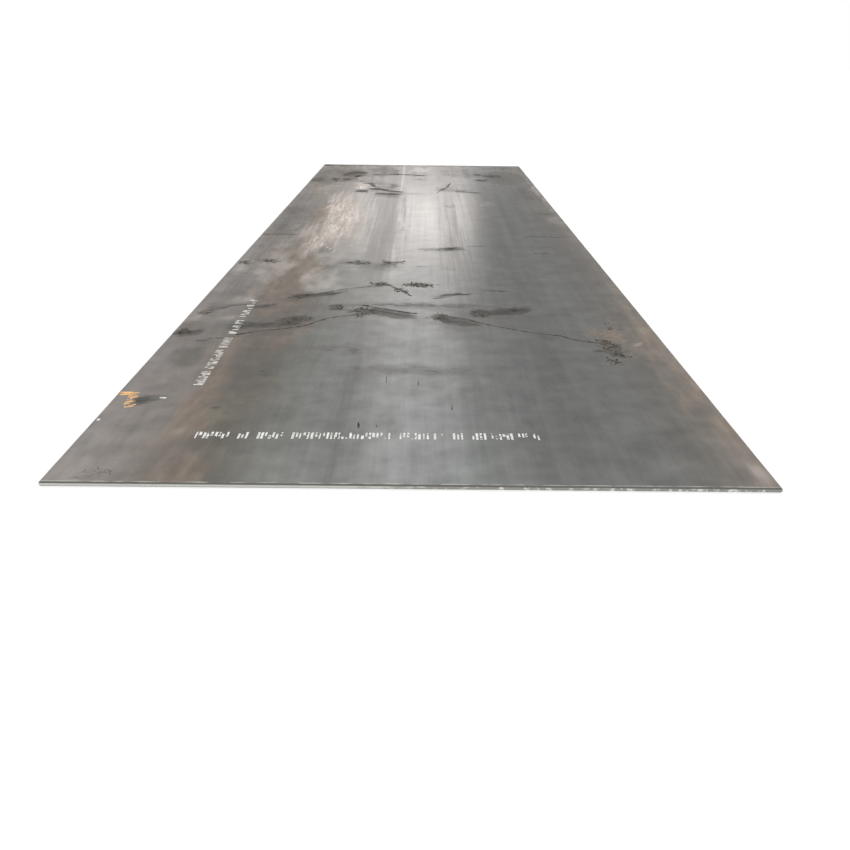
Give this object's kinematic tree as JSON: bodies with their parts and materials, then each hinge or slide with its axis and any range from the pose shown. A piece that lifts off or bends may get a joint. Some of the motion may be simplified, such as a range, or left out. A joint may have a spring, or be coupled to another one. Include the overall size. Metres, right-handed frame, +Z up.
{
  "type": "steel plate",
  "caption": "Flat rectangular hot-rolled steel plate with rounded mill edges along its length and sheared ends, lying flat as raw stock.",
  "frame": {"origin": "middle of the underside", "axes": "+X across the plate, +Y along the rolling direction, +Z up through the thickness"},
  "size_m": [1.81, 5.8, 0.012],
  "materials": {
    "mill_scale_steel": "dull mill scale, stained and streaked along the rolling direction"
  },
  "bodies": {
    "root": {"plate": "mill_scale_steel"}
  },
  "joints": []
}
